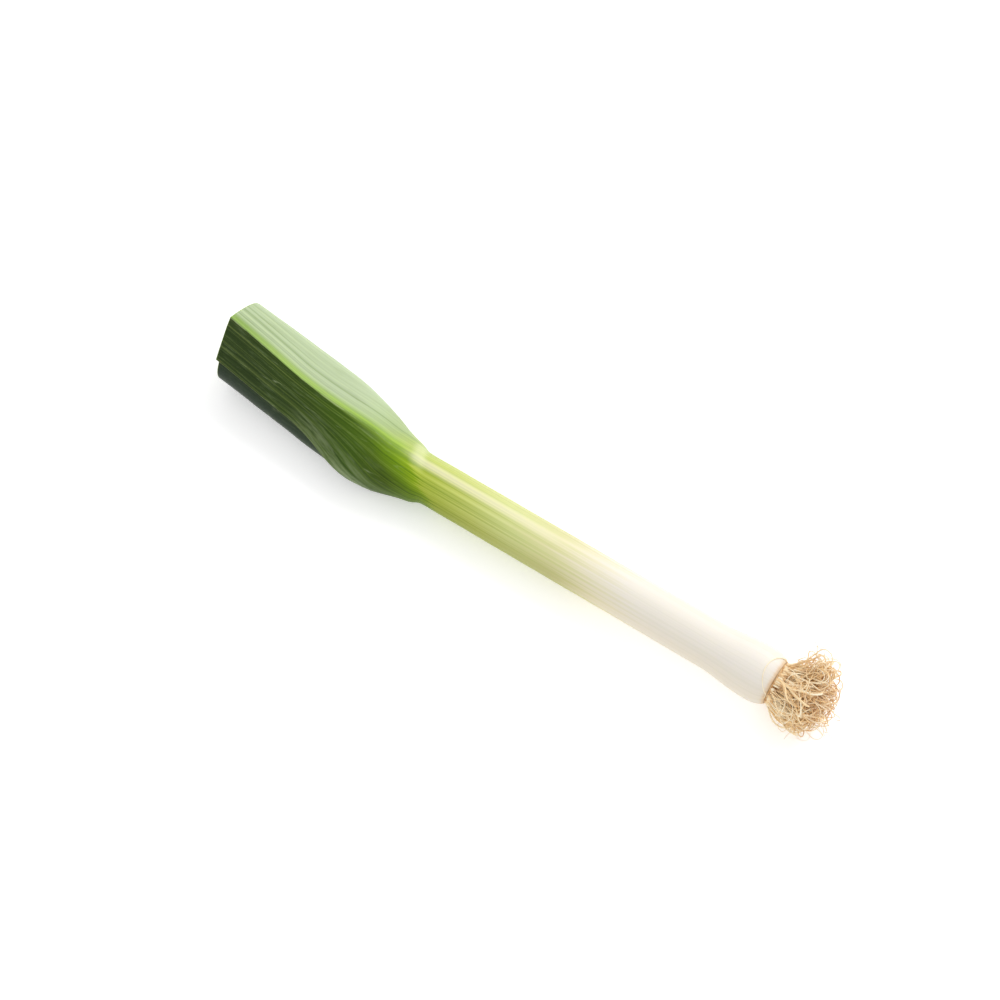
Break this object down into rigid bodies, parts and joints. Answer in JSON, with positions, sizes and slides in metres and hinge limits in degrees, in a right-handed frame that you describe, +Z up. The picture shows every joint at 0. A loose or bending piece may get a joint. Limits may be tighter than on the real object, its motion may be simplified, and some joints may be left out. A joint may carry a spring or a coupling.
{
  "type": "leek",
  "caption": "Trimmed fresh leek lying on its side: white shaft, keeled green leaves cut square, a tuft of pale roots.",
  "frame": {"origin": "middle of the bounding box's underside, on the surface the leek lies on", "axes": "+X along the leek towards its roots, the cut leaves towards -X, +Z up from the surface"},
  "size_m": [0.3934, 0.0586, 0.0436],
  "materials": {
    "outer_leaf": "satin",
    "inner_leaf": "satin",
    "heart": "satin",
    "plate": "matte",
    "roots": "matte"
  },
  "bodies": {
    "root": {"leaf_1": "outer_leaf", "leaf_2": "outer_leaf", "leaf_3": "inner_leaf", "leaf_4": "inner_leaf", "leaf_5": "inner_leaf", "leaf_6": "inner_leaf", "leaf_7": "inner_leaf", "heart_leaf": "heart", "basal_plate": "plate", "roots": "roots"}
  },
  "joints": []
}
